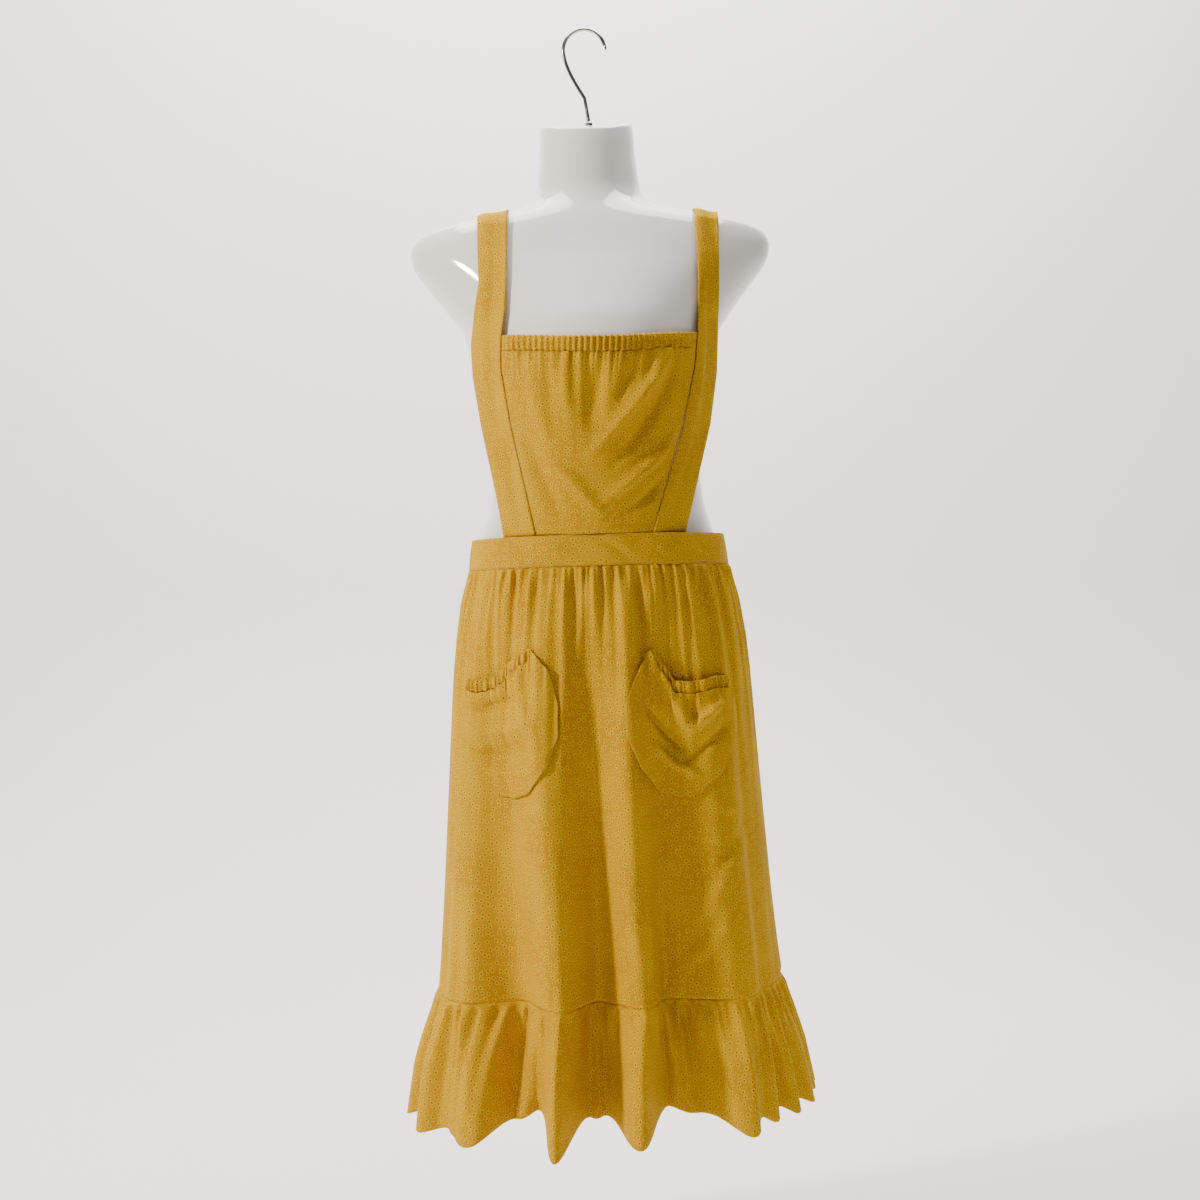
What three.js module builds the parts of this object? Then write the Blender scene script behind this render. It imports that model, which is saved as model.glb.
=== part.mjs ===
// A cotton pinafore sundress on a hollow-backed hanging torso form.
//
// Millimetres, +Z up, the wearer's front faces -Y and +X is the wearer's left. The origin is where the
// hook's crown bears on a rail. Every cloth piece is a wall of its own with a small gap at each seam.
import * as THREE from "three";

// ---- Driving dimensions -------------------------------------------------------------------------------
const CLOTH = 1.5; // wall of a single or turned layer of cotton with its seam allowances
const SEAM_GAP = 0.3; // between pieces that are sewn together
const BACK_Y = 20; // the plane of the form's open back
const RING_Y = 10; // the middle plane of the garment's rings, through the side seams
const WAIST_TOP_Z = -583;
const WAIST_HEIGHT = 35;
const SKIRT_TOP_Z = WAIST_TOP_Z - WAIST_HEIGHT;
const RUFFLE_TOP_Z = -1092;
const HEM_Z = -1222;
const BIB_CASING = 17; // depth of the elastic casing along the bib's top edge
const STRAP_WIDTH = 35;
const POCKET_CASING = 13;
const FORM_WALL = 3;
const WIRE_RADIUS = 2.2;

// ---- Tables: a row for each section or fold -----------------------------------------------------------
// The form, from its neck to its hips. depth runs forward from the open back, half is the half width.
const FORM_SECTIONS = [
  { z: -103, half: 53, depth: 58 },
  { z: -112, half: 54.5, depth: 60 },
  { z: -145, half: 56, depth: 62 },
  { z: -185, half: 61, depth: 66 },
  { z: -200, half: 72, depth: 71 },
  { z: -208, half: 96, depth: 75 },
  { z: -213, half: 130, depth: 78 },
  { z: -220, half: 172, depth: 82 },
  { z: -230, half: 201, depth: 87 },
  { z: -248, half: 210, depth: 95 },
  { z: -270, half: 204, depth: 106 },
  { z: -312, half: 171, depth: 132 },
  { z: -344, half: 148, depth: 152 },
  { z: -372, half: 143, depth: 162 },
  { z: -400, half: 141, depth: 160 },
  { z: -441, half: 130, depth: 140 },
  { z: -504, half: 119, depth: 118 },
  { z: -547, half: 124, depth: 119 },
  { z: -585, half: 136, depth: 124 },
  { z: -640, half: 145, depth: 129 },
  { z: -700, half: 150, depth: 131 },
  { z: -760, half: 152, depth: 129 },
];
const FORM_COLUMNS = 32;
const NECK_SLOPE = 0.3; // the neck's cap falls towards the front
const NECK_TOP_Z = FORM_SECTIONS[0].z - NECK_SLOPE * BACK_Y; // the cap under the hook

// The hook: its arc, and its foot's place above the cap.
const HOOK = { arcRadius: 24, arcStart: 195, footX: 3, footAbove: 4.8 };
const NUT_HEIGHT = 3.4;

// The surface that the bib and the straps lie on: close over the bust and shoulders, clear of the waist.
const BODICE_SECTIONS = [
  { z: -200, half: 76, depth: 75 },
  { z: -207, half: 96, depth: 79 },
  { z: -212, half: 133, depth: 82 },
  { z: -219, half: 177, depth: 86.5 },
  { z: -229, half: 206, depth: 91.5 },
  { z: -248, half: 214.5, depth: 99.5 },
  { z: -270, half: 208.5, depth: 111 },
  { z: -312, half: 176, depth: 137 },
  { z: -344, half: 153, depth: 158 },
  { z: -372, half: 149, depth: 169 },
  { z: -400, half: 148, depth: 169 },
  { z: -441, half: 146, depth: 163 },
  { z: -504, half: 143, depth: 150 },
  { z: -583, half: 146, depth: 139 },
];

// The garment's rings below the waist. front and back run from RING_Y.
const SKIRT_SECTIONS = [
  { z: -583, half: 145, front: 128, back: 16 },
  { z: -618, half: 149, front: 131, back: 17 },
  { z: -657, half: 158, front: 139, back: 20 },
  { z: -697, half: 165, front: 144, back: 22 },
  { z: -735, half: 169, front: 147, back: 24 },
  { z: -790, half: 173, front: 150, back: 26 },
  { z: -850, half: 177, front: 151, back: 28 },
  { z: -920, half: 182, front: 152, back: 30 },
  { z: -990, half: 187, front: 153, back: 32 },
  { z: -1050, half: 192, front: 154, back: 34 },
  { z: -1092, half: 196, front: 155, back: 36 },
  { z: -1130, half: 209, front: 158, back: 40 },
  { z: -1172, half: 222, front: 161, back: 44 },
  { z: -1222, half: 232, front: 164, back: 48 },
];

// Large folds, from the right side seam to the left. hip, seam and hem place each crest or hollow as a
// share of the half width, out is how far it stands out at the ruffle's seam, and drop lowers the hem.
const FRONT_FOLDS = [
  { hip: -1.0, seam: -1.0, hem: -1.0, out: 0, drop: 0 },
  { hip: -0.91, seam: -0.78, hem: -0.64, out: 15, drop: 12 },
  { hip: -0.66, seam: -0.55, hem: -0.43, out: -24, drop: -14 },
  { hip: -0.36, seam: -0.26, hem: -0.25, out: 27, drop: 20 },
  { hip: -0.06, seam: -0.08, hem: -0.12, out: -30, drop: -10 },
  { hip: 0.11, seam: 0.17, hem: 0.13, out: 19, drop: 10 },
  { hip: 0.36, seam: 0.34, hem: 0.32, out: -27, drop: -16 },
  { hip: 0.7, seam: 0.72, hem: 0.62, out: 15, drop: 8 },
  { hip: 0.88, seam: 0.88, hem: 0.8, out: -4, drop: 4 },
  { hip: 1.0, seam: 1.0, hem: 1.0, out: 0, drop: 0 },
];
const BACK_FOLDS = [
  { hip: -1.0, seam: -1.0, hem: -1.0, out: 0, drop: 0 },
  { hip: -0.75, seam: -0.72, hem: -0.7, out: 13, drop: 4 },
  { hip: -0.5, seam: -0.52, hem: -0.5, out: -14, drop: -6 },
  { hip: -0.3, seam: -0.27, hem: -0.28, out: 17, drop: 5 },
  { hip: -0.05, seam: -0.02, hem: 0.0, out: -18, drop: -7 },
  { hip: 0.22, seam: 0.24, hem: 0.25, out: 15, drop: 4 },
  { hip: 0.45, seam: 0.5, hem: 0.48, out: -16, drop: -5 },
  { hip: 0.7, seam: 0.75, hem: 0.74, out: 12, drop: 3 },
  { hip: 1.0, seam: 1.0, hem: 1.0, out: 0, drop: 0 },
];
const FRONT_GATHERS = { waves: 13, out: 2.6 };
const BACK_GATHERS = { waves: 10, out: 2.2 };
const RUFFLE_GATHERS = { waves: 15, out: 4.5 };

// The seams between the bib and its straps, and the straps' outer edges, from the waist up.
const STRAP_EDGES = {
  right: [
    { z: -583, inner: -68, outer: -104 },
    { z: -532, inner: -78, outer: -112 },
    { z: -461, inner: -92, outer: -126 },
    { z: -400, inner: -101, outer: -135 },
    { z: -366, inner: -100, outer: -136 },
    { z: -335, inner: -95, outer: -131 },
    { z: -300, inner: -93, outer: -124 },
    { z: -250, inner: -92, outer: -125 },
    { z: -205, inner: -91, outer: -126 },
  ],
  left: [
    { z: -583, inner: 60, outer: 96 },
    { z: -532, inner: 76, outer: 110 },
    { z: -461, inner: 98, outer: 129 },
    { z: -400, inner: 112, outer: 139 },
    { z: -366, inner: 116, outer: 141 },
    { z: -335, inner: 118, outer: 142 },
    { z: -300, inner: 119, outer: 143 },
    { z: -250, inner: 119, outer: 145 },
    { z: -205, inner: 119, outer: 146 },
  ],
};
const BIB_TOP = { sideZ: -362, middleZ: -371 };
const BIB_SIDE_GAP = 0.5; // a little wider than the other seams, because the side seams curve

// Pockets, from the outer edge inwards: the upper edge, where mouth marks the elastic part, and the lower.
const POCKETS = {
  right: [
    { x: -157, topZ: -766, bottomZ: -798 },
    { x: -152, topZ: -738, bottomZ: -822 },
    { x: -138, topZ: -741, bottomZ: -845 },
    { x: -115, topZ: -736, bottomZ: -866 },
    { x: -98, topZ: -722, bottomZ: -869 },
    { x: -80, topZ: -704, bottomZ: -862 },
    { x: -62, topZ: -728, bottomZ: -834 },
    { x: -48, topZ: -766, bottomZ: -800 },
  ],
  left: [
    { x: 24, topZ: -768, bottomZ: -802 },
    { x: 38, topZ: -730, bottomZ: -840 },
    { x: 55, topZ: -708, bottomZ: -862 },
    { x: 66, topZ: -728, bottomZ: -868 },
    { x: 80, topZ: -745, bottomZ: -872 },
    { x: 100, topZ: -747, bottomZ: -867 },
    { x: 122, topZ: -742, bottomZ: -849 },
    { x: 138, topZ: -742, bottomZ: -824 },
    { x: 145, topZ: -768, bottomZ: -796 },
  ],
};
const MOUTHS = { right: { from: -153, to: -80 }, left: { from: 55, to: 139 } };
const POCKET_CLEAR = 1.3; // off the skirt's front
const POCKET_FULLNESS = 5; // more at the mouth's middle, where it stands open

// How finely each piece is divided.
const SKIRT_GRID = { front: 64, back: 38, rows: 10 };
const RUFFLE_GRID = { front: 72, back: 44, rows: 3 };

// ---- Small helpers ------------------------------------------------------------------------------------
const lerp = (a, b, t) => a + (b - a) * t;
const clamp01 = (t) => Math.min(1, Math.max(0, t));
const ease = (t) => t * t * (3 - 2 * t);

// Reads a table by a falling key, smoothly between rows.
function rowAt(rows, key, value) {
  let i = 0;
  while (i < rows.length - 2 && Math.abs(value) > Math.abs(rows[i + 1][key])) i++;
  const [a, b] = [rows[i], rows[i + 1]];
  const t = clamp01((value - a[key]) / (b[key] - a[key]));
  return Object.fromEntries(Object.keys(a).map((k) => [k, lerp(a[k], b[k], t)]));
}

// Reads a table by its rising x.
function rowAlongX(rows, x) {
  let i = 0;
  while (i < rows.length - 2 && x > rows[i + 1].x) i++;
  const t = clamp01((x - rows[i].x) / (rows[i + 1].x - rows[i].x));
  return {
    topZ: lerp(rows[i].topZ, rows[i + 1].topZ, t),
    bottomZ: lerp(rows[i].bottomZ, rows[i + 1].bottomZ, t),
  };
}

// A closed wall between an outer and an inner grid of points. outer(u, v) and inner(u, v) take shares.
function wall(columns, rows, outer, inner) {
  const positions = [];
  const indices = [];
  const stride = columns + 1;
  const layer = stride * (rows + 1);
  for (const side of [outer, inner])
    for (let j = 0; j <= rows; j++)
      for (let i = 0; i <= columns; i++) positions.push(...side(i / columns, j / rows));
  const at = (side, i, j) => side * layer + j * stride + i;
  const quad = (a, b, c, d) => indices.push(a, b, c, a, c, d);
  for (let j = 0; j < rows; j++)
    for (let i = 0; i < columns; i++) {
      quad(at(0, i, j), at(0, i, j + 1), at(0, i + 1, j + 1), at(0, i + 1, j));
      quad(at(1, i, j), at(1, i + 1, j), at(1, i + 1, j + 1), at(1, i, j + 1));
    }
  for (let i = 0; i < columns; i++) {
    quad(at(0, i, 0), at(0, i + 1, 0), at(1, i + 1, 0), at(1, i, 0));
    quad(at(0, i, rows), at(1, i, rows), at(1, i + 1, rows), at(0, i + 1, rows));
  }
  for (let j = 0; j < rows; j++) {
    quad(at(0, 0, j), at(1, 0, j), at(1, 0, j + 1), at(0, 0, j + 1));
    quad(at(0, columns, j), at(0, columns, j + 1), at(1, columns, j + 1), at(1, columns, j));
  }
  return new THREE.BufferGeometry()
    .setAttribute("position", new THREE.Float32BufferAttribute(positions, 3))
    .setIndex(indices);
}

// The unit normal of a surface. level keeps it in the horizontal plane.
function normalOf(surface, u, v, level) {
  const step = 1e-3;
  const across = new THREE.Vector3(...surface(u + step, v)).sub(new THREE.Vector3(...surface(u - step, v)));
  const down = new THREE.Vector3(...surface(u, v + step)).sub(new THREE.Vector3(...surface(u, v - step)));
  const normal = down.cross(across);
  if (level) normal.z = 0;
  return normal.normalize();
}

// The surface moved out along its normal, by a distance that may vary over it.
const movedOut = (surface, distance, level) => (u, v) => {
  const inside = [Math.min(1 - 1e-3, Math.max(1e-3, u)), Math.min(1 - 1e-3, Math.max(1e-3, v))];
  const n = normalOf(surface, ...inside, level);
  const [x, y, z] = surface(u, v);
  const d = distance(u, v);
  return [x + n.x * d, y + n.y * d, z + n.z * d];
};

// A wall of the cloth's thickness inside a surface.
const clothWall = (columns, rows, surface, level = false) =>
  wall(columns, rows, surface, movedOut(surface, () => -CLOTH, level));

// ---- The garment's surfaces ---------------------------------------------------------------------------
const FRONT_POWER = 2.2;
const BACK_POWER = 5;

// Half of a ring, from the right side seam (share 0) to the left (share 1), evenly along its length.
const RING_STEPS = 240;
function halfRing(section, front) {
  const power = front ? FRONT_POWER : BACK_POWER;
  const reach = front ? -section.front : section.back;
  const points = [];
  for (let i = 0; i <= RING_STEPS; i++) {
    const angle = Math.PI * (1 - i / RING_STEPS);
    const c = Math.cos(angle);
    const x = section.half * Math.sign(c) * Math.abs(c) ** (2 / power);
    points.push(new THREE.Vector2(x, RING_Y + reach * Math.sin(angle) ** (2 / power)));
  }
  const lengths = [0];
  for (let i = 1; i < points.length; i++)
    lengths.push(lengths[i - 1] + points[i].distanceTo(points[i - 1]));
  const total = lengths[RING_STEPS];
  const indexOf = (share) => {
    let [low, high] = [0, RING_STEPS];
    while (high - low > 1) {
      const middle = (low + high) >> 1;
      if (lengths[middle] > share * total) high = middle;
      else low = middle;
    }
    return low;
  };
  return {
    total,
    at(share) {
      const i = indexOf(share);
      const t = (share * total - lengths[i]) / (lengths[i + 1] - lengths[i]);
      const place = points[i].clone().lerp(points[i + 1], t);
      const along = points[i + 1].clone().sub(points[i]).normalize();
      const out = front ? new THREE.Vector2(along.y, -along.x) : new THREE.Vector2(-along.y, along.x);
      return { place, out };
    },
    shareOfX(ratio) {
      const x = ratio * section.half;
      let i = 0;
      while (i < RING_STEPS - 1 && points[i + 1].x < x) i++;
      const t = clamp01((x - points[i].x) / (points[i + 1].x - points[i].x || 1));
      return lerp(lengths[i], lengths[i + 1], t) / total;
    },
  };
}

// Crests and hollows with their places along the reference ring worked out once.
const REFERENCE = { half: 196, front: 155, back: 36 };
function foldsOf(rows, front) {
  const ring = halfRing(REFERENCE, front);
  return rows.map((r) => ({
    hip: ring.shareOfX(r.hip),
    seam: ring.shareOfX(r.seam),
    hem: ring.shareOfX(r.hem),
    out: r.out,
    drop: r.drop,
  }));
}
const FOLDS = { front: foldsOf(FRONT_FOLDS, true), back: foldsOf(BACK_FOLDS, false) };

const HIP_Z = -735;
function foldAt(side, share, z) {
  const folds = FOLDS[side];
  const low = clamp01((RUFFLE_TOP_Z - z) / (RUFFLE_TOP_Z - HEM_Z));
  const high = clamp01((HIP_Z - z) / (HIP_Z - RUFFLE_TOP_Z));
  const placeOf = (f) => (z < RUFFLE_TOP_Z ? lerp(f.seam, f.hem, low) : lerp(f.hip, f.seam, high));
  let i = 0;
  while (i < folds.length - 2 && placeOf(folds[i + 1]) < share) i++;
  const [a, b] = [folds[i], folds[i + 1]];
  const t = ease(clamp01((share - placeOf(a)) / (placeOf(b) - placeOf(a))));
  const above = ease(clamp01((SKIRT_TOP_Z - z) / (SKIRT_TOP_Z - HIP_Z)));
  const growth = z > HIP_Z ? 0.3 * above : 0.3 + 0.7 * high;
  return { out: lerp(a.out, b.out, t) * (growth + 0.25 * low), drop: lerp(a.drop, b.drop, t) };
}

// Gathers: narrow folds, strong just below the seam that they are sewn to.
function gathersAt({ waves, out }, share, below, reach) {
  const fade = ease(clamp01(below / 25)) * (1 - ease(clamp01(below / reach)));
  return out * fade * Math.sin(2 * Math.PI * waves * share) * ease(clamp01(8 * Math.min(share, 1 - share)));
}

function ringPoint(side, share, z, extra = 0, drop = 0) {
  const section = rowAt(SKIRT_SECTIONS, "z", z);
  const { place, out } = halfRing(section, side === "front").at(share);
  return [place.x + out.x * extra, place.y + out.y * extra, z - drop];
}

const GATHERS = { front: FRONT_GATHERS, back: BACK_GATHERS };
const SKIRT_GATHER_REACH = 190;
function skirtPoint(side, share, z) {
  const gathers = gathersAt(GATHERS[side], share, SKIRT_TOP_Z - z, SKIRT_GATHER_REACH);
  return ringPoint(side, share, z, foldAt(side, share, z).out + gathers);
}

// Keeps the two halves apart at the side seams by a share of the ring's length.
function trimmed(side, u, z) {
  const { total } = halfRing(rowAt(SKIRT_SECTIONS, "z", z), side === "front");
  return lerp(SEAM_GAP / 2 / total, 1 - SEAM_GAP / 2 / total, u);
}

// The front of the bodice at x and z.
function bodiceY(x, z) {
  const { half, depth } = rowAt(BODICE_SECTIONS, "z", z);
  return BACK_Y - depth * Math.sqrt(Math.max(0, 1 - (x / half) ** 2));
}

// The height of the shoulder line at x, along the form's back edge.
function shoulderZ(x) {
  const i = BODICE_SECTIONS.findIndex((section) => section.half > Math.abs(x));
  const [above, below] = [BODICE_SECTIONS[i - 1], BODICE_SECTIONS[i]];
  return lerp(above.z, below.z, (Math.abs(x) - above.half) / (below.half - above.half));
}

// ---- Sub-parts ----------------------------------------------------------------------------------------
const cotton = (color) => new THREE.MeshStandardMaterial({ color, roughness: 0.85, metalness: 0 });
const COTTON = 0xd6a50f;
const CASING = 0xc9980c;

const dress = new THREE.Group();
function add(name, geometry, material) {
  const mesh = new THREE.Mesh(geometry, material);
  mesh.name = name;
  dress.add(mesh);
}

// The form: a closed cap over the neck, then its sections, with an open back and an open lower edge.
function formGeometry() {
  const rows = FORM_SECTIONS.length;
  const surface = (inset) => (u, v) => {
    const row = Math.round(v * rows);
    const { z, half, depth } = FORM_SECTIONS[Math.max(0, row - 1)];
    const reach = row === 0 ? 0 : 1; // row 0 is the cap's middle, at the back edge
    const angle = Math.PI * (1 - u);
    const x = reach * (half - inset) * Math.cos(angle);
    const forward = reach * (depth - inset) * Math.sin(angle);
    const capFall = row <= 1 ? NECK_SLOPE * forward + inset : 0;
    return [x, BACK_Y - forward, z - capFall];
  };
  return wall(FORM_COLUMNS, rows, surface(0), surface(FORM_WALL));
}

// The wire: up from the neck, back to one side, and over in an arc whose inside crown is at the origin.
function hookGeometry() {
  const arc = (degrees) => {
    const a = THREE.MathUtils.degToRad(degrees);
    const middleZ = WIRE_RADIUS - HOOK.arcRadius;
    return new THREE.Vector3(HOOK.arcRadius * Math.cos(a), 0, middleZ + HOOK.arcRadius * Math.sin(a));
  };
  const foot = new THREE.Vector3(HOOK.footX, 0, NECK_TOP_Z + HOOK.footAbove);
  const bend = new THREE.Vector3(-1, 0, -77);
  const pull = new THREE.Vector3(-21, 0, -45);
  const path = new THREE.CurvePath();
  path.add(new THREE.LineCurve3(foot, bend));
  path.add(new THREE.QuadraticBezierCurve3(bend, pull, arc(HOOK.arcStart)));
  for (let d = HOOK.arcStart; d > 0; d -= 15) path.add(new THREE.LineCurve3(arc(d), arc(d - 15)));
  const section = new THREE.Shape();
  section.absarc(0, 0, WIRE_RADIUS, 0, 2 * Math.PI);
  return new THREE.ExtrudeGeometry(section, { steps: 40, curveSegments: 4, extrudePath: path });
}

// A six-sided nut that sits square on the sloping neck, under the wire's foot.
function hookNutGeometry() {
  const nut = new THREE.CylinderGeometry(4.5, 5, NUT_HEIGHT, 6);
  nut.rotateX(Math.PI / 2 + Math.atan(NECK_SLOPE));
  nut.translate(HOOK.footX, 0, NECK_TOP_Z + NUT_HEIGHT / 2 + 0.4);
  return nut;
}

const edgesAt = (side, z) => rowAt([...STRAP_EDGES[side]].reverse(), "z", z);
const bibTopZ = (u) => lerp(BIB_TOP.sideZ, BIB_TOP.middleZ, Math.sin(Math.PI * u));

function bibPoint(u, z) {
  const left = edgesAt("right", z).inner + BIB_SIDE_GAP;
  const right = edgesAt("left", z).inner - BIB_SIDE_GAP;
  const x = lerp(left, right, u);
  return [x, bodiceY(x, z), z];
}

function bib() {
  const bottom = WAIST_TOP_Z + SEAM_GAP;
  const panel = (u, v) => bibPoint(u, lerp(bibTopZ(u) - BIB_CASING - SEAM_GAP, bottom, v));
  add("bib_panel", clothWall(12, 12, panel), cotton(COTTON));
  const casing = (u, v) => bibPoint(u, bibTopZ(u) - v * BIB_CASING);
  add("bib_top_casing", clothWall(12, 1, casing), cotton(CASING));
}

// A strap: up the bib's side, over the shoulder, across the open back and down to the waistband.
const SHOULDER_Z = -205; // where the straps' edges are read as they go over
const STRAP_FRONT_SHARE = 0.56; // of the strap's rows, from the waist to the shoulder
const STRAP_TURN_SHARE = 0.12; // of the back rows, to come off the shoulder
const STRAP_BACK_X = { right: 52, left: -52 }; // where each ends on the back waistband, crossed over
const STRAP_BACK_Y = BACK_Y + 6;
const STRAP_CROSSING = 0.7; // as a share of the way down the back
function strapSurface(side) {
  const lift = side === "left" ? CLOTH + 0.45 : 0; // the one that crosses on top
  const waistZ = WAIST_TOP_Z + SEAM_GAP;
  return (u, v) => {
    const edgeX = (z) => {
      const { inner, outer } = edgesAt(side, z);
      return side === "right" ? lerp(outer, inner, u) : lerp(inner, outer, u);
    };
    const shoulderX = edgeX(SHOULDER_Z);
    const crestZ = shoulderZ(shoulderX);
    if (v <= STRAP_FRONT_SHARE) {
      const rise = Math.sin((v / STRAP_FRONT_SHARE) * (Math.PI / 2)) ** 1.15;
      const z = lerp(waistZ, crestZ, rise);
      const x = edgeX(z);
      return [x, bodiceY(x, z), z];
    }
    const t = (v - STRAP_FRONT_SHARE) / (1 - STRAP_FRONT_SHARE);
    const turn = clamp01(t / STRAP_TURN_SHARE);
    const fall = clamp01((t - STRAP_TURN_SHARE / 2) / (1 - STRAP_TURN_SHARE / 2));
    const endX = STRAP_BACK_X[side] + (u - 0.5) * STRAP_WIDTH;
    const x = lerp(shoulderX, endX, fall);
    const z = lerp(crestZ, waistZ, fall) + 1.5 * Math.sin(Math.PI * turn);
    const crossing = ease(clamp01((0.24 - Math.abs(fall - STRAP_CROSSING)) / 0.09));
    return [x, lerp(BACK_Y, STRAP_BACK_Y, ease(turn)) + lift * crossing, z];
  };
}

function straps() {
  for (const side of ["right", "left"])
    add(`strap_${side}`, clothWall(2, 36, strapSurface(side)), cotton(COTTON));
}

function waistband() {
  for (const side of ["front", "back"]) {
    const surface = (u, v) => {
      const z = lerp(WAIST_TOP_Z, SKIRT_TOP_Z + SEAM_GAP, v);
      const share = trimmed(side, u, z);
      return ringPoint(side, side === "front" ? share : 1 - share, z);
    };
    add(`waistband_${side}`, clothWall(side === "front" ? 30 : 22, 1, surface, true), cotton(COTTON));
  }
}

const skirtSurface = (side) => (u, v) => {
  const z = lerp(SKIRT_TOP_Z, RUFFLE_TOP_Z + SEAM_GAP, v);
  const share = trimmed(side, u, z);
  return skirtPoint(side, side === "front" ? share : 1 - share, z);
};

function skirt() {
  for (const side of ["front", "back"]) {
    const panel = clothWall(SKIRT_GRID[side], SKIRT_GRID.rows, skirtSurface(side), true);
    add(`skirt_${side}`, panel, cotton(COTTON));
  }
}

function ruffle() {
  for (const side of ["front", "back"]) {
    const surface = (u, v) => {
      const z = lerp(RUFFLE_TOP_Z, HEM_Z, v);
      const trim = trimmed(side, u, z);
      const share = side === "front" ? trim : 1 - trim;
      const { out, drop } = foldAt(side, share, z);
      const gathers = gathersAt(RUFFLE_GATHERS, share, RUFFLE_TOP_Z - z, 260);
      return ringPoint(side, share, z, out + gathers, drop * v);
    };
    add(`ruffle_${side}`, clothWall(RUFFLE_GRID[side], RUFFLE_GRID.rows, surface, true), cotton(COTTON));
  }
}

// A point of the skirt's front at a column and a height, straight between its rows.
function skirtFrontAt(column, z) {
  const place = ((z - SKIRT_TOP_Z) / (RUFFLE_TOP_Z + SEAM_GAP - SKIRT_TOP_Z)) * SKIRT_GRID.rows;
  const row = Math.min(SKIRT_GRID.rows - 1, Math.floor(place));
  const upper = skirtSurface("front")(column / SKIRT_GRID.front, row / SKIRT_GRID.rows);
  const lower = skirtSurface("front")(column / SKIRT_GRID.front, (row + 1) / SKIRT_GRID.rows);
  return upper.map((value, axis) => lerp(value, lower[axis], place - row));
}

// The nearest column of the skirt's front to x, at the pockets' middle height.
const POCKET_MIDDLE_Z = -790;
function columnNear(x) {
  const columns = [...Array(SKIRT_GRID.front + 1).keys()];
  const away = (column) => Math.abs(skirtFrontAt(column, POCKET_MIDDLE_Z)[0] - x);
  return columns.reduce((best, column) => (away(column) < away(best) ? column : best));
}

function pockets() {
  for (const side of ["right", "left"]) {
    const rows = POCKETS[side];
    const edges = { from: columnNear(rows[0].x), to: columnNear(rows.at(-1).x) };
    const mouth = { from: columnNear(MOUTHS[side].from), to: columnNear(MOUTHS[side].to) };
    const outline = (column) => rowAlongX(rows, skirtFrontAt(column, POCKET_MIDDLE_Z)[0]);
    const inMouth = (column) => column > mouth.from - 0.5 && column < mouth.to + 0.5;
    const patch = (span, topOf, bottomOf) => {
      const columnOf = (u) => lerp(span.from, span.to, u);
      const zOf = (u, v) => lerp(topOf(columnOf(u)), bottomOf(columnOf(u)), v);
      const onSkirt = (u, v) => skirtFrontAt(columnOf(u), zOf(u, v));
      const fullness = (u, v) => {
        const across = clamp01((columnOf(u) - mouth.from) / (mouth.to - mouth.from));
        const { topZ, bottomZ } = outline(columnOf(u));
        const down = clamp01((topZ - zOf(u, v)) / (topZ - bottomZ));
        return POCKET_CLEAR + POCKET_FULLNESS * Math.sin(Math.PI * across) * (1 - down) ** 2;
      };
      const inner = movedOut(onSkirt, fullness, true);
      const outer = movedOut(onSkirt, (u, v) => fullness(u, v) + CLOTH, true);
      return { inner, outer, columns: span.to - span.from };
    };
    const casing = patch(mouth, (c) => outline(c).topZ, (c) => outline(c).topZ - POCKET_CASING);
    const belowCasing = (c) => outline(c).topZ - (inMouth(c) ? POCKET_CASING + 2 * SEAM_GAP : 0);
    const panel = patch(edges, belowCasing, (c) => outline(c).bottomZ);
    add(`pocket_${side}`, wall(panel.columns, 6, panel.outer, panel.inner), cotton(COTTON));
    add(`pocket_${side}_casing`, wall(casing.columns, 1, casing.outer, casing.inner), cotton(CASING));
  }
}

const plastic = new THREE.MeshStandardMaterial({ color: 0xe9e4de, roughness: 0.15, metalness: 0 });
const steel = new THREE.MeshStandardMaterial({ color: 0x9a948c, roughness: 0.25, metalness: 1 });
add("torso_form", formGeometry(), plastic);
add("hook", hookGeometry(), steel);
add("hook_nut", hookNutGeometry(), steel);
bib();
straps();
waistband();
skirt();
ruffle();
pockets();

export default dress;
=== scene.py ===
"""A mustard calico pinafore sundress on a hanging torso form: its looks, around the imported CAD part.

Every cloth piece is a thin shell on its own solid's form. Sizes in the tables are millimetres in the part's
frame: +Z up, the wearer's front faces -Y, and the origin is under the hook's crown.
"""
import math

import bpy
import numpy as np
from mathutils import Matrix, Vector


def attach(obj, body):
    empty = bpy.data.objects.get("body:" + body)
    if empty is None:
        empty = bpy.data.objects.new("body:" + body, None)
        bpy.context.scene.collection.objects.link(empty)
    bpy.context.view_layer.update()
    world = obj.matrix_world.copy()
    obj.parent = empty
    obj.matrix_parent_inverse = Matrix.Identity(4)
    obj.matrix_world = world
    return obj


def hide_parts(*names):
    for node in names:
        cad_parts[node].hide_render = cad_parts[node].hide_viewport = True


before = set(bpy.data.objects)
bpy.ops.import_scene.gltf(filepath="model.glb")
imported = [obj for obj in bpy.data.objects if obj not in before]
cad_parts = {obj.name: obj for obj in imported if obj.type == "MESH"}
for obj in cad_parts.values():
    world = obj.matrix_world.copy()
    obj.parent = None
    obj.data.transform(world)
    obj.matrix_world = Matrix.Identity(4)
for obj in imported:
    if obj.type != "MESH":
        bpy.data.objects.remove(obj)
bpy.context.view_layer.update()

# ---- Driving dimensions, as in the part unless a line says otherwise -----------------------------------
MM = 0.001
CLOTH = 1.5
SEAM_GAP = 0.3
BACK_Y = 20
RING_Y = 10
WAIST_TOP_Z = -583
SKIRT_TOP_Z = -618
HIP_Z = -735
RUFFLE_TOP_Z = -1092
HEM_Z = -1222
BIB_CASING = 17
STRAP_WIDTH = 35
POCKET_CASING = 13
POCKET_MIDDLE_Z = -790
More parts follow.
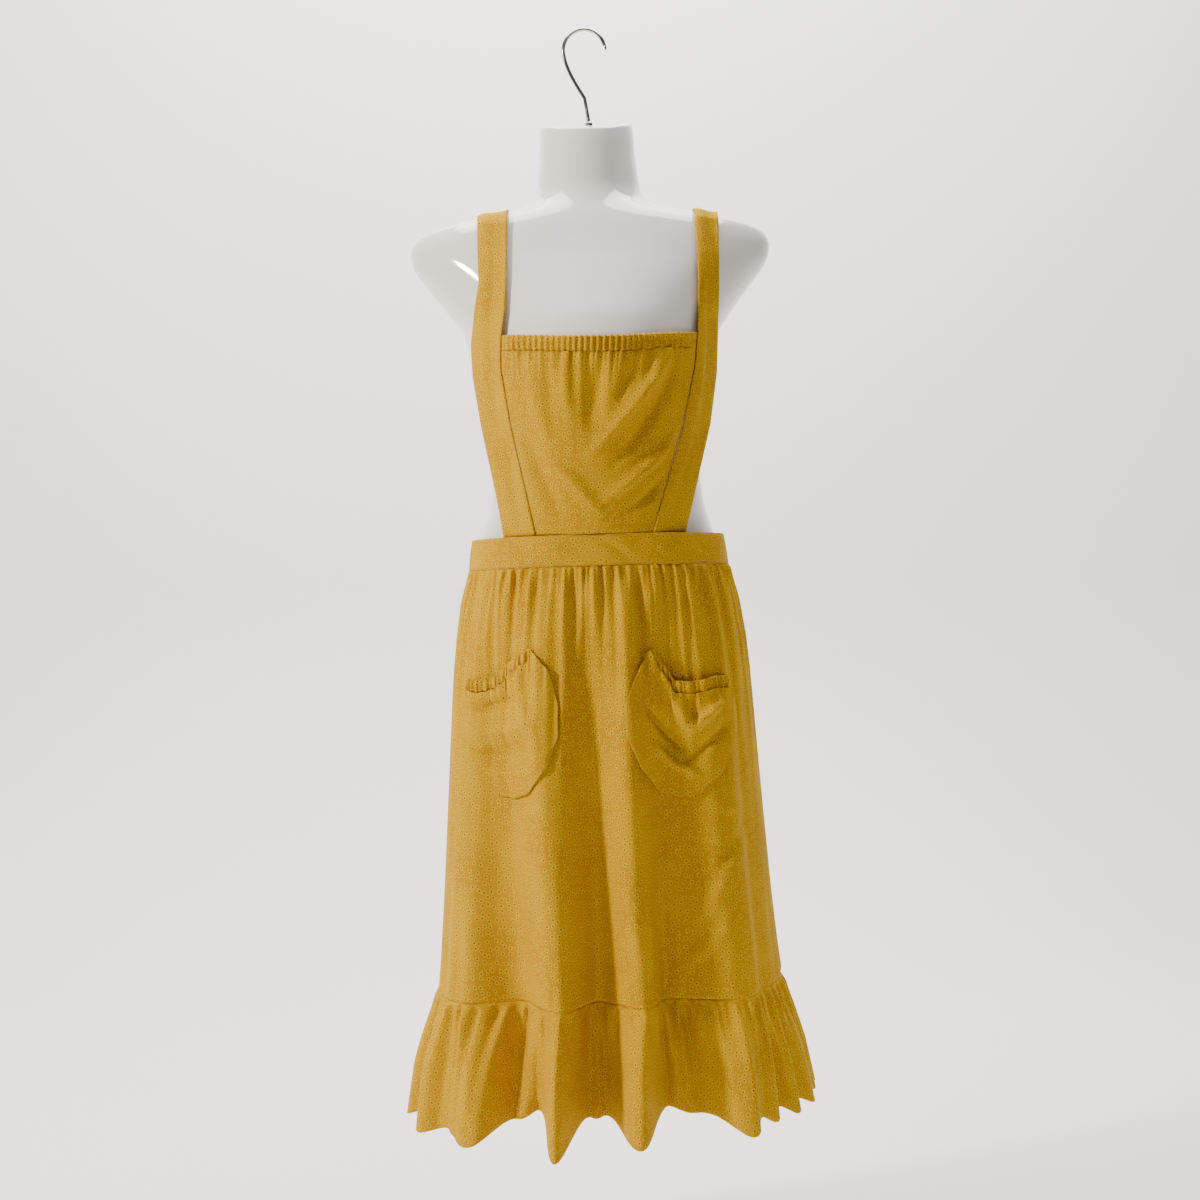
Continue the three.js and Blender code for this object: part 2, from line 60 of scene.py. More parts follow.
POCKET_CLEAR = 1.6  # the part's is 1.3
POCKET_FULLNESS = 5
WIRE_RADIUS = 2.2
FRONT_POWER = 2.2
BACK_POWER = 5
FORM_TOP_Z = -103
FORM_BOTTOM_Z = -760
RING_STEPS = 400  # along each half ring, finer than the part's

# About how long each half ring is, to space small gathers evenly along it.
SKIRT_LENGTH = {"front": 520, "back": 400}
RUFFLE_LENGTH = {"front": 560, "back": 430}
WAISTBAND_LENGTH = 480
BIB_WIDTH = 216

# How thick the cloth and the form are drawn. The cloth is thinner than the part's.
CLOTH_SHELL = 1.1
FORM_SHELL = 3

# The form's rings: height, half width and depth.
FORM_SECTIONS = np.array([
    (-103, 53, 58), (-112, 54.5, 60), (-145, 56, 62), (-185, 61, 66), (-200, 72, 71), (-208, 96, 75),
    (-213, 130, 78), (-220, 172, 82), (-230, 201, 87), (-248, 210, 95), (-270, 204, 106), (-312, 171, 132),
    (-344, 148, 152), (-372, 143, 162), (-400, 141, 160), (-441, 130, 140), (-504, 119, 118),
    (-547, 124, 119), (-585, 136, 124), (-640, 145, 129), (-700, 150, 131), (-760, 152, 129),
])
NECK_SLOPE = 0.3

# The bodice's rings: height, half width and depth.
BODICE_SECTIONS = np.array([
    (-200, 76, 75), (-207, 96, 79), (-212, 133, 82), (-219, 177, 86.5), (-229, 206, 91.5),
    (-248, 214.5, 99.5), (-270, 208.5, 111), (-312, 176, 137), (-344, 153, 158), (-372, 149, 169),
    (-400, 148, 169), (-441, 146, 163), (-504, 143, 150), (-583, 146, 139),
])

# The rings below the waist: height, half width, front and back.
SKIRT_SECTIONS = np.array([
    (-583, 145, 128, 16), (-618, 149, 131, 17), (-657, 158, 139, 20), (-697, 165, 144, 22),
    (-735, 169, 147, 24), (-790, 173, 150, 26), (-850, 177, 151, 28), (-920, 182, 152, 30),
    (-990, 187, 153, 32), (-1050, 192, 154, 34), (-1092, 196, 155, 36), (-1130, 209, 158, 40),
    (-1172, 222, 161, 44), (-1222, 232, 164, 48),
])

# Large folds: place at the hip, the ruffle's seam and the hem, how far out, and how much lower the hem is.
FOLDS = {
    "front": np.array([
        (-1.0, -1.0, -1.0, 0, 0), (-0.91, -0.78, -0.64, 15, 12), (-0.66, -0.55, -0.43, -24, -14),
        (-0.36, -0.26, -0.25, 27, 20), (-0.06, -0.08, -0.12, -30, -10), (0.11, 0.17, 0.13, 19, 10),
        (0.36, 0.34, 0.32, -27, -16), (0.7, 0.72, 0.62, 15, 8), (0.88, 0.88, 0.8, -4, 4),
        (1.0, 1.0, 1.0, 0, 0),
    ]),
    "back": np.array([
        (-1.0, -1.0, -1.0, 0, 0), (-0.75, -0.72, -0.7, 13, 4), (-0.5, -0.52, -0.5, -14, -6),
        (-0.3, -0.27, -0.28, 17, 5), (-0.05, -0.02, 0.0, -18, -7), (0.22, 0.24, 0.25, 15, 4),
        (0.45, 0.5, 0.48, -16, -5), (0.7, 0.75, 0.74, 12, 3), (1.0, 1.0, 1.0, 0, 0),
    ]),
}
GATHERS = {"front": (13, 2.6), "back": (10, 2.2)}
SKIRT_GATHER_REACH = 190
RUFFLE_GATHERS = (15, 4.5)
RUFFLE_GATHER_REACH = 260

# Uneven fine gathers: their spacing, how far out and how far down they reach, and a seed for the unevenness.
SKIRT_FINE = [(7.4, 1.4, 34, 0.0), (15.5, 2.6, 80, 1.7)]
SKIRT_WIDE = [(31, 3.6, 190, 0.9)]
SKIRT_OVER_RUFFLE = [(9.5, 0.9, 13, 0.6), (37, 2.4, 120, 2.9)]
RUFFLE_FINE = [(8.2, 1.9, 24, 0.9), (17, 4.2, 80, 2.2)]
WAISTBAND_FINE = [(6.5, 1.2, 50, 0.4)]
BIB_CASING_FINE = [(6.2, 1.4, 50, 0.3)]
BIB_FINE = [(6.2, 1.1, 14, 0.3), (14, 1.7, 30, 1.1)]
POCKET_CASING_FINE = [(5.4, 1.4, 50, 0.8)]
POCKET_FINE = [(4.4, 0.6, 10, 0.8), (10.5, 1.2, 34, 1.4)]
FLUTE_SPACING = 43
FLUTE_OUT = 8.5
FLUTE_DROP = 5

BIB_TOP_Z = -362
BIB_TOP_DIP = 9
BIB_STRAP_GAP = 0.5

# Seam between the bib and the strap, and the strap's outer edge: height, inner x, outer x.
STRAP_EDGES = {
    "right": np.array([
        (-583, -68, -104), (-532, -78, -112), (-461, -92, -126), (-400, -101, -135), (-366, -100, -136),
        (-335, -95, -131), (-300, -93, -124), (-250, -92, -125), (-205, -91, -126),
    ]),
    "left": np.array([
        (-583, 60, 96), (-532, 76, 110), (-461, 98, 129), (-400, 112, 139), (-366, 116, 141),
        (-335, 118, 142), (-300, 119, 143), (-250, 119, 145), (-205, 119, 146),
    ]),
}
STRAP_BACK_X = {"right": 52, "left": -52}
STRAP_BACK_Y = 26
STRAP_CROSSING = 0.7
STRAP_FRONT_SHARE = 0.56  # of the strap's rows, from the waist to the shoulder
STRAP_TOP_Z = -205.0
STRAP_TURN = 0.12  # share of the back's rows in which it settles onto the open back
STRAP_LIFT = 0.45  # beyond the other strap's cloth, where one crosses over it

# Pocket outlines from one side to the other: x, upper edge, lower edge.
POCKETS = {
    "right": np.array([
        (-157, -766, -798), (-152, -738, -822), (-138, -741, -845), (-115, -736, -866), (-98, -722, -869),
        (-80, -704, -862), (-62, -728, -834), (-48, -766, -800),
    ]),
    "left": np.array([
        (24, -768, -802), (38, -730, -840), (55, -708, -862), (66, -728, -868), (80, -745, -872),
        (100, -747, -867), (122, -742, -849), (138, -742, -824), (145, -768, -796),
    ]),
}
MOUTHS = {"right": (-153, -80), "left": (55, 139)}

# Creases listed one by one, seen from the front: from x, z through x, z to x, z, half width and height.
BIB_CREASES = [
    (83, -381, 68, -424, -6, -498, 7, 4.2), (92, -392, 84, -440, 20, -508, 6, -3.4),
    (98, -468, 60, -512, 4, -551, 6, 3.0), (104, -492, 76, -530, 30, -562, 6, -2.4),
    (6, -396, 0, -436, -6, -474, 11, -3.2), (-30, -392, -34, -424, -30, -452, 8, 1.8),
    (-66, -392, -64, -440, -50, -486, 9, 2.0), (-78, -470, -58, -520, -40, -566, 8, -1.8),
    (-50, -500, -20, -530, 10, -572, 8, 1.6), (44, -392, 40, -414, 24, -444, 6, -2.2),
]
STRAP_CREASES = [
    (-110, -300, -115, -380, -108, -470, 5, 1.5), (-124, -340, -128, -390, -118, -450, 4, -1.1),
    (-98, -480, -92, -530, -84, -575, 5, 1.3), (131, -300, 131, -370, 118, -470, 5, 1.6),
    (122, -340, 126, -390, 112, -460, 4, -1.1), (104, -490, 94, -530, 78, -575, 5, 1.4),
]
WAIST_CREASES = [
    (-118, -588, -98, -600, -84, -612, 5, 1.2), (-60, -590, -44, -602, -20, -612, 5, 1.0),
    (0, -588, 22, -600, 36, -612, 5, -1.2), (52, -590, 70, -600, 96, -612, 5, 1.2),
    (104, -588, 118, -600, 128, -612, 4, -1.0), (-100, -590, -72, -600, -56, -612, 4, -0.9),
]
SKIRT_CREASES = [
    (146, -925, 122, -950, 100, -1008, 8, 3.4), (152, -900, 132, -932, 108, -975, 7, -2.8),
    (128, -1010, 108, -1030, 84, -1062, 7, 2.2), (-88, -880, -92, -960, -84, -1050, 12, 3.0),
    (-128, -900, -130, -980, -134, -1060, 12, -2.6), (-34, -700, -40, -760, -50, -860, 7, 2.2),
    (14, -690, 12, -760, 6, -850, 7, -2.0), (8, -930, 22, -980, 30, -1050, 10, 2.4),
    (-150, -1000, -146, -1040, -130, -1080, 8, 1.8), (60, -900, 54, -980, 50, -1050, 7, -2.4),
    (-20, -640, -24, -700, -30, -760, 5, 1.8), (96, -650, 100, -690, 112, -720, 6, -1.6),
    (-120, -650, -126, -690, -136, -725, 6, 1.6), (110, -880, 130, -890, 150, -880, 6, 1.6),
]
POCKET_CREASES = [
    (-150, -768, -122, -776, -84, -752, 5, -2.6), (-148, -790, -116, -806, -76, -786, 6, 2.2),
    (-146, -812, -112, -826, -72, -800, 5, -2.2), (-130, -834, -104, -846, -74, -838, 5, 1.6),
    (-92, -730, -84, -770, -70, -820, 6, 2.0), (60, -736, 86, -782, 94, -800, 6, 3.0),
    (136, -762, 112, -782, 94, -802, 5, 2.8), (40, -764, 66, -800, 92, -826, 6, -2.8),
    (138, -790, 112, -814, 86, -836, 6, -2.4), (50, -812, 76, -838, 104, -850, 5, 1.8),
    (96, -760, 98, -776, 92, -796, 5, -1.8),
]
BACK_CREASES = [
    (-96, -860, -84, -920, -92, -1000, 10, 2.4), (40, -800, 34, -880, 46, -960, 10, -2.4),
    (120, -900, 110, -960, 124, -1030, 9, 2.2), (-20, -930, -8, -980, -16, -1050, 9, 2.0),
]


# ---- Surfaces ----------------------------------------------------------------------------------------
def ease(t):
    t = np.clip(t, 0, 1)
    return t * t * (3 - 2 * t)


def column(table, z, key):
    """One column of a table of sections whose heights fall, at height z."""
    return np.interp(-np.asarray(z, float), -table[:, 0], table[:, key])


def ring(half, reach, power):
    """Half of a ring from the right side seam to the left, evenly along its length, and its outward sense."""
    angle = np.pi * (1 - np.linspace(0, 1, RING_STEPS + 1))
    c = np.cos(angle)
    x = half * np.sign(c) * np.abs(c) ** (2 / power)
    y = RING_Y + reach * np.sin(angle).clip(0, 1) ** (2 / power)
    length = np.concatenate([[0], np.cumsum(np.hypot(np.diff(x), np.diff(y)))])
    even = np.linspace(0, length[-1], RING_STEPS + 1)
    x, y = np.interp(even, length, x), np.interp(even, length, y)
    dx, dy = np.gradient(x), np.gradient(y)
    size = np.hypot(dx, dy)
    sense = 1 if reach < 0 else -1
    return x, y, sense * dy / size, -sense * dx / size


LEVELS = np.linspace(HEM_Z, WAIST_TOP_Z, 260)


def ring_table(side):
    rows = []
    for z in LEVELS:
        half = column(SKIRT_SECTIONS, z, 1)
        if side == "front":
            rows.append(ring(half, -column(SKIRT_SECTIONS, z, 2), FRONT_POWER))
        else:
            rows.append(ring(half, column(SKIRT_SECTIONS, z, 3), BACK_POWER))
    return np.array(rows)


RINGS = {side: ring_table(side) for side in ("front", "back")}


def on_ring(side, share, z):
    """x, y and the outward sense at shares of the half ring and heights."""
    row = np.clip((z - LEVELS[0]) / (LEVELS[1] - LEVELS[0]), 0, len(LEVELS) - 1.001)
    place = np.clip(share, 0, 1) * (RING_STEPS - 0.001)
    r, s = row.astype(int), place.astype(int)
    fr, fs = row - r, place - s
    table = RINGS[side]
    return [
        (table[r, k, s] * (1 - fs) + table[r, k, s + 1] * fs) * (1 - fr)
        + (table[r + 1, k, s] * (1 - fs) + table[r + 1, k, s + 1] * fs) * fr
        for k in range(4)
    ]


def share_of_x(side, ratio):
    x = RINGS[side][np.argmin(np.abs(LEVELS - RUFFLE_TOP_Z)), 0]
    return np.interp(ratio * x.max(), x, np.linspace(0, 1, RING_STEPS + 1))


def fold_at(side, share, z):
    """How far the large folds stand out, and how far they lower the hem."""
    folds = FOLDS[side]
    hip, seam, hem = (share_of_x(side, folds[:, k]) for k in range(3))
    low = np.clip((RUFFLE_TOP_Z - z) / (RUFFLE_TOP_Z - HEM_Z), 0, 1)
    high = np.clip((HIP_Z - z) / (HIP_Z - RUFFLE_TOP_Z), 0, 1)
    out, drop = np.zeros_like(share), np.zeros_like(share)
    for i in range(len(folds) - 1):
        a = hip[i] + (seam[i] - hip[i]) * high + (hem[i] - seam[i]) * low
        b = hip[i + 1] + (seam[i + 1] - hip[i + 1]) * high + (hem[i + 1] - seam[i + 1]) * low
        inside = (share >= a) & (share <= b)
        t = ease((share - a) / (b - a))
        out = np.where(inside, folds[i, 3] + (folds[i + 1, 3] - folds[i, 3]) * t, out)
        drop = np.where(inside, folds[i, 4] + (folds[i + 1, 4] - folds[i, 4]) * t, drop)
    start = 0.3 * ease((SKIRT_TOP_Z - z) / (SKIRT_TOP_Z - HIP_Z))
    growth = np.where(z > HIP_Z, start, 0.3 + 0.7 * high)
    return out * (growth + 0.25 * low), drop


def large_gathers(gathers, share, below, reach):
    waves, out = gathers
    fade = ease(below / 25) * (1 - ease(below / reach))
    ends = ease(8 * np.minimum(share, 1 - share))
    return out * fade * np.sin(2 * np.pi * waves * share) * ends


def small_gathers(place, below, kinds):
    """Uneven fine gathers under a seam: place runs along it and below is the way down from it, in mm."""
    total = np.zeros_like(place)
    for spacing, out, reach, seed in kinds:
        wander = 0.9 * np.sin(place / 31 + seed) + 0.6 * np.sin(place / 12.7 + 2 * seed)
        strength = 0.72 + 0.28 * np.sin(place / 17.3 + 3 * seed)
        fade = np.exp(-np.clip(below, 0, None) / reach)
        wave = np.sin(2 * np.pi * place / spacing + wander)
        total += out * strength * fade * np.sign(wave) * np.abs(wave) ** 0.8
    return total


def creases(table, x, z):
    """The height of the listed ridges and troughs at x and z."""
    total = np.zeros_like(x)
    for x0, z0, x1, z1, x2, z2, width, height in table:
        best = np.full_like(x, 1e9)
        along = np.zeros_like(x)
        steps = 14
        for i in range(steps):
            ends = []
            for t in (i / steps, (i + 1) / steps):
                w = ((1 - t) ** 2, 2 * t * (1 - t), t * t)
                ends.append((w[0] * x0 + w[1] * x1 + w[2] * x2, w[0] * z0 + w[1] * z1 + w[2] * z2))
            (ax, az), (bx, bz) = ends
            span = (bx - ax) ** 2 + (bz - az) ** 2
            t = np.clip(((x - ax) * (bx - ax) + (z - az) * (bz - az)) / span, 0, 1)
            away = np.hypot(x - ax - t * (bx - ax), z - az - t * (bz - az))
            nearer = away < best
            best = np.where(nearer, away, best)
            along = np.where(nearer, (i + t) / steps, along)
        total += height * np.exp(-((best / width) ** 2)) * np.sin(np.pi * np.clip(along, 0.02, 0.98)) ** 0.6
    return total


def moved(points, distance):
    """A grid of points moved out along its own normals."""
    across = np.gradient(points, axis=1)
    down = np.gradient(points, axis=0)
    normal = np.cross(down, across)
    normal /= np.linalg.norm(normal, axis=2, keepdims=True)
    return points + normal * distance[..., None]


def grid(columns, rows):
    v, u = np.meshgrid(np.linspace(0, 1, rows + 1), np.linspace(0, 1, columns + 1), indexing="ij")
    return u, v


def seam_trim(side, u):
    """Keeps the halves apart at the side seams, and turns the back's rings to run the other way."""
    length = SKIRT_LENGTH[side]
    share = SEAM_GAP / 2 / length + u * (1 - SEAM_GAP / length)
    return share if side == "front" else 1 - share


def skirt_at(side, share, z):
    """Points of the skirt with all its folds and gathers, from shares and heights."""
    x, y, nx, ny = on_ring(side, share, z)
    below = SKIRT_TOP_Z - z
    place = share * SKIRT_LENGTH[side]
    above = z - RUFFLE_TOP_Z
    soft = small_gathers(place, below, SKIRT_FINE)
    soft += small_gathers(place, below, SKIRT_WIDE) * ease(below / 40)
    soft += small_gathers(place, above, SKIRT_OVER_RUFFLE)
    soft += 1.5 * creases(SKIRT_CREASES if side == "front" else BACK_CREASES, x, z)
    out = fold_at(side, share, z)[0] + large_gathers(GATHERS[side], share, below, SKIRT_GATHER_REACH)
    out += soft * ease(above / 9) * ease(0.35 + below / 8)
    return np.stack([x + nx * out, y + ny * out, z], axis=2)


def skirt_points(side, columns, rows):
    u, v = grid(columns, rows)
    z = SKIRT_TOP_Z + v * (RUFFLE_TOP_Z + SEAM_GAP - SKIRT_TOP_Z)
    return skirt_at(side, seam_trim(side, u), z)


def ruffle_points(side, columns, rows):
    """The ruffle: gathered under its seam and opening into uneven flutes at the hem."""
    u, v = grid(columns, rows)
    z = RUFFLE_TOP_Z + v * (HEM_Z - RUFFLE_TOP_Z)
    share = seam_trim(side, u)
    x, y, nx, ny = on_ring(side, share, z)
    out, drop = fold_at(side, share, z)
    below = RUFFLE_TOP_Z - z
    place = share * RUFFLE_LENGTH[side]
    out += large_gathers(RUFFLE_GATHERS, share, below, RUFFLE_GATHER_REACH)
    out += small_gathers(place, below, RUFFLE_FINE) * ease(below / 9)
    flutes = np.sin(2 * np.pi * place / FLUTE_SPACING + 1.5 * np.sin(place / 37) + 0.5)
    loose = ease(8 * np.minimum(share, 1 - share))
    out += FLUTE_OUT * ease(below / 70) * np.sign(flutes) * np.abs(flutes) ** 0.8 * loose
    drop = drop + FLUTE_DROP * flutes * loose
    return np.stack([x + nx * out, y + ny * out, z - drop * v], axis=2)


def waistband_points(side, columns, rows):
    """The waistband: creased in front, lightly gathered behind."""
    u, v = grid(columns, rows)
    z = WAIST_TOP_Z + v * (SKIRT_TOP_Z + SEAM_GAP - WAIST_TOP_Z)
    share = seam_trim(side, u)
    x, y, nx, ny = on_ring(side, share, z)
    place = share * WAISTBAND_LENGTH
    if side == "front":
        out = 1.5 * creases(WAIST_CREASES, x, z)
    else:
        out = small_gathers(place, 0 * z, WAISTBAND_FINE)
    out += 0.5 * np.sin(place / 13 + 2 * v) + 0.6 * np.sin(np.pi * v)
    return np.stack([x + nx * out, y + ny * out, z], axis=2)


def bodice_y(x, z):
    half, depth = column(BODICE_SECTIONS, z, 1), column(BODICE_SECTIONS, z, 2)
    return BACK_Y - depth * np.sqrt(np.clip(1 - (x / half) ** 2, 0, 1))


def strap_edge(side, z, key):
    table = STRAP_EDGES[side]
    return np.interp(z, table[:, 0], table[:, key])


def bib_points(part, columns, rows):
    """The bib's elastic casing, or the panel below it."""
    u, v = grid(columns, rows)
    top = BIB_TOP_Z - BIB_TOP_DIP * np.sin(np.pi * u)
    seam = top - BIB_CASING
    if part == "casing":
        z = top - v * BIB_CASING
    else:
        z = seam - SEAM_GAP + v * (WAIST_TOP_Z + SEAM_GAP - (seam - SEAM_GAP))
    left = strap_edge("right", z, 1) + BIB_STRAP_GAP
    right = strap_edge("left", z, 1) - BIB_STRAP_GAP
    x = left + (right - left) * u
    points = np.stack([x, bodice_y(x, z), z], axis=2)
    edge = ease(np.minimum(u, 1 - u) * 14)
    place = u * BIB_WIDTH
    if part == "casing":
        out = small_gathers(place, 0 * z, BIB_CASING_FINE) + 0.8 * np.sin(np.pi * v)
    else:
        out = small_gathers(place, seam - z, BIB_FINE)
        out += 2.1 * creases(BIB_CREASES, x, z)
    return moved(points, out * edge)


def shoulder_z(x):
    """The height of the shoulder line at x."""
    upper = BODICE_SECTIONS[:6]
    return np.interp(np.abs(x), upper[:, 1], upper[:, 0])


def strap_points(side, columns, rows):
    """A strap: up beside the bib, over the shoulder and down across the open back."""
    u, v = grid(columns, rows)
    first, last = (2, 1) if side == "right" else (1, 2)

    def edge_x(z):
        return strap_edge(side, z, first) * (1 - u) + strap_edge(side, z, last) * u

    turn = STRAP_FRONT_SHARE
    start = WAIST_TOP_Z + SEAM_GAP
    x_top = edge_x(np.full_like(u, STRAP_TOP_Z))
    crest = shoulder_z(x_top)
    rise = np.clip(v / turn, 0, 1)
    z_front = start + (crest - start) * np.sin(rise * np.pi / 2) ** 1.15
    x_front = edge_x(z_front)
    t = np.clip((v - turn) / (1 - turn), 0, 1)
    fall = np.clip((t - 0.06) / 0.94, 0, 1)
    x_back = x_top + (STRAP_BACK_X[side] + (u - 0.5) * STRAP_WIDTH - x_top) * fall
    z_back = crest + (start - crest) * fall + 1.5 * np.sin(np.pi * np.clip(t / STRAP_TURN, 0, 1))
    lift = CLOTH + STRAP_LIFT if side == "left" else 0
    crossing = ease((0.24 - np.abs(fall - STRAP_CROSSING)) / 0.09)
    y_back = BACK_Y + (STRAP_BACK_Y - BACK_Y) * ease(t / STRAP_TURN) + lift * crossing
    front = v <= turn
    points = np.stack(
        [
            np.where(front, x_front, x_back),
            np.where(front, bodice_y(x_front, z_front), y_back),
            np.where(front, z_front, z_back),
        ],
        axis=2,
    )
    edge = ease(np.minimum(u, 1 - u) * 6)
    fold = 1.3 * np.tanh(8 * (u - 0.42)) * ease(v * 9) * ease((turn - v) * 9)
    out = np.where(front, 1.5 * creases(STRAP_CREASES, points[..., 0], points[..., 2]) + fold, 0)
    out += 0.5 * np.sin(v * 46 + 3 * u) * ease((1 - v) * 8)
    return moved(points, np.clip(out, -0.9, 2.6) * edge)


def pocket_points(side, part, columns, rows):
    """A pocket's elastic casing, or the patch below it, lying on the skirt."""
    u, v = grid(columns, rows)
    shares = np.linspace(0, 1, 801)
    middle = skirt_at("front", shares[None, :], np.full((1, 801), float(POCKET_MIDDLE_Z)))[0, :, 0]
    smooth = np.maximum.accumulate(middle)

    def share_at(x):
        return np.interp(x, smooth, shares)

    table = POCKETS[side]
    mouth = [share_at(x) for x in MOUTHS[side]]
    span = mouth if part == "casing" else [share_at(table[0, 0]), share_at(table[-1, 0])]
    share = span[0] + (span[1] - span[0]) * u
    x = np.interp(share, shares, smooth)
    top, bottom = np.interp(x, table[:, 0], table[:, 1]), np.interp(x, table[:, 0], table[:, 2])
    if part == "casing":
        z = top - v * POCKET_CASING
    else:
        ends = ease((share - mouth[0]) * 90 + 0.5) * ease((mouth[1] - share) * 90 + 0.5)
        high = top - ends * (POCKET_CASING + SEAM_GAP)
        z = high + v * (bottom - high)
    across = np.clip((share - mouth[0]) / (mouth[1] - mouth[0]), 0, 1)
    down = np.clip((top - z) / (top - bottom), 0, 1)
    place = share * SKIRT_LENGTH["front"]
    out = POCKET_CLEAR + CLOTH + POCKET_FULLNESS * np.sin(np.pi * across) * (1 - down) ** 2
    if part == "casing":
        out += small_gathers(place, 0 * z, POCKET_CASING_FINE) + 0.7 * np.sin(np.pi * v)
    else:
        inside = ease(np.minimum(np.minimum(u, 1 - u) * 9, (1 - v) * 6))
        fine = small_gathers(place, top - POCKET_CASING - z, POCKET_FINE)
        out += (fine + 2.4 * creases(POCKET_CREASES, x, z)) * inside + 1.6 * inside
    return moved(skirt_at("front", share, z), out)


# ---- Meshes ------------------------------------------------------------------------------------------
def linked(name, data):
    piece = bpy.data.objects.new(name, data)
    bpy.context.scene.collection.objects.link(piece)
    return piece


def cut_map(mesh, points):
    """A UV map in metres of cloth, measured along the rows from the middle and down the columns."""
    steps = np.linalg.norm(np.diff(points, axis=1), axis=2)
    across = np.concatenate([np.zeros((len(points), 1)), np.cumsum(steps, axis=1)], axis=1)
    across -= across[:, [across.shape[1] // 2]]
    falls = np.linalg.norm(np.diff(points, axis=0), axis=2).mean(axis=1)
    down = np.concatenate([[0], np.cumsum(falls)])[:, None] + 0 * across
    flat = np.stack([across, -down], axis=2).reshape(-1, 2) * MM
    layer = mesh.uv_layers.new(name="cut")
    corners = np.zeros(len(mesh.loops), np.int32)
    mesh.loops.foreach_get("vertex_index", corners)
    layer.data.foreach_set("uv", flat[corners].ravel())


def grid_mesh(name, points, material):
    """A smooth mesh on a grid of points."""
    rows, columns = points.shape[:2]
    index = np.arange(rows * columns).reshape(rows, columns)
    corners = [index[:-1, :-1], index[1:, :-1], index[1:, 1:], index[:-1, 1:]]
    quads = np.stack(corners, axis=2).reshape(-1, 4)
    mesh = bpy.data.meshes.new(name)
    mesh.from_pydata((points.reshape(-1, 3) * MM).tolist(), [], quads.tolist())
    mesh.polygons.foreach_set("use_smooth", [True] * len(mesh.polygons))
    mesh.materials.append(material)
    return mesh


def cloth(name, points, slot):
    """A thin shell of cloth with its outer face on the grid of points. It stands for that CAD node."""
    mesh = grid_mesh(name + "_cloth", points, MATERIALS[slot])
    cut_map(mesh, points)
    piece = linked(name + "_cloth", mesh)
    shell = piece.modifiers.new("thickness", "SOLIDIFY")
    shell.thickness = CLOTH_SHELL * MM
    shell.offset = -1
    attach(piece, "root")
    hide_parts(name)
    return piece


# ---- Materials ---------------------------------------------------------------------------------------
class Nodes:
    """A short way to write a material's nodes."""

    def __init__(self, name):
        self.material = bpy.data.materials.new(name)
        self.material.use_nodes = True
        self.tree = self.material.node_tree
        self.shader = self.tree.nodes["Principled BSDF"]

    def add(self, kind, **settings):
        node = self.tree.nodes.new(kind)
        for key, value in settings.items():
            setattr(node, key, value)
        return node

    def join(self, source, target):
        self.tree.links.new(source, target)

    def step(self, value, low, high):
        """1 where value is below low, falling to 0 at high."""
        node = self.add("ShaderNodeMapRange", interpolation_type="SMOOTHSTEP")
        self.join(value, node.inputs["Value"])
        node.inputs["From Min"].default_value = low
        node.inputs["From Max"].default_value = high
        node.inputs["To Min"].default_value = 1
        node.inputs["To Max"].default_value = 0
        return node.outputs["Result"]

    def mix(self, amount, below, above):
        node = self.add("ShaderNodeMix", data_type="RGBA")
        self.join(amount, node.inputs["Factor"])
        for socket, value in ((node.inputs["A"], below), (node.inputs["B"], above)):
            if isinstance(value, tuple):
                socket.default_value = (*value, 1)
            else:
                self.join(value, socket)
        return node.outputs["Result"]


GROUND = (0.52, 0.275, 0.0)
# A darker tone of the same cloth: the colour of its random patches, and also the whole ground of the casings,
# where it is painted shade of their tight gathers.
GROUND_PATCH_AND_PAINTED_SHADE = (0.46, 0.225, 0.0)
FLOWER = (0.62, 0.38, 0.006)
CENTRE = (0.20, 0.07, 0.0)
SPECK = (0.66, 0.41, 0.015)


def calico(name, ground):
    """Mustard cotton with a small scattered print: dark dots, each in a paler ring, and pale specks."""
    n = Nodes(name)
    uv = n.add("ShaderNodeUVMap", uv_map="cut")

    def scattered(spacing, randomness, offset):
        shift = n.add("ShaderNodeVectorMath", operation="ADD")
        n.join(uv.outputs["UV"], shift.inputs[0])
        shift.inputs[1].default_value = (offset, offset, 0)
        cells = n.add("ShaderNodeTexVoronoi", voronoi_dimensions="2D", feature="F1")
        n.join(shift.outputs["Vector"], cells.inputs["Vector"])
        cells.inputs["Scale"].default_value = 1 / spacing
        cells.inputs["Randomness"].default_value = randomness
        return cells

    patches = n.add("ShaderNodeTexNoise")
    n.join(uv.outputs["UV"], patches.inputs["Vector"])
    patches.inputs["Scale"].default_value = 14
    colour = n.mix(n.step(patches.outputs["Fac"], 0.35, 0.65), ground, GROUND_PATCH_AND_PAINTED_SHADE)
    specks = scattered(0.0046, 1.0, 0.31)
    colour = n.mix(n.step(specks.outputs["Distance"], 0.10, 0.17), colour, SPECK)
    flowers = scattered(0.0078, 0.62, 0.0)
    colour = n.mix(n.step(flowers.outputs["Distance"], 0.26, 0.32), colour, FLOWER)
    colour = n.mix(n.step(flowers.outputs["Distance"], 0.10, 0.16), colour, CENTRE)
    n.join(colour, n.shader.inputs["Base Color"])
    n.shader.inputs["Roughness"].default_value = 0.9
    n.shader.inputs["Specular IOR Level"].default_value = 0.12
    weave = n.add("ShaderNodeTexNoise")
    n.join(uv.outputs["UV"], weave.inputs["Vector"])
    weave.inputs["Scale"].default_value = 900
    bump = n.add("ShaderNodeBump")
    n.join(weave.outputs["Fac"], bump.inputs["Height"])
    bump.inputs["Strength"].default_value = 0.12
    bump.inputs["Distance"].default_value = 0.0004
    n.join(bump.outputs["Normal"], n.shader.inputs["Normal"])
    return n.material


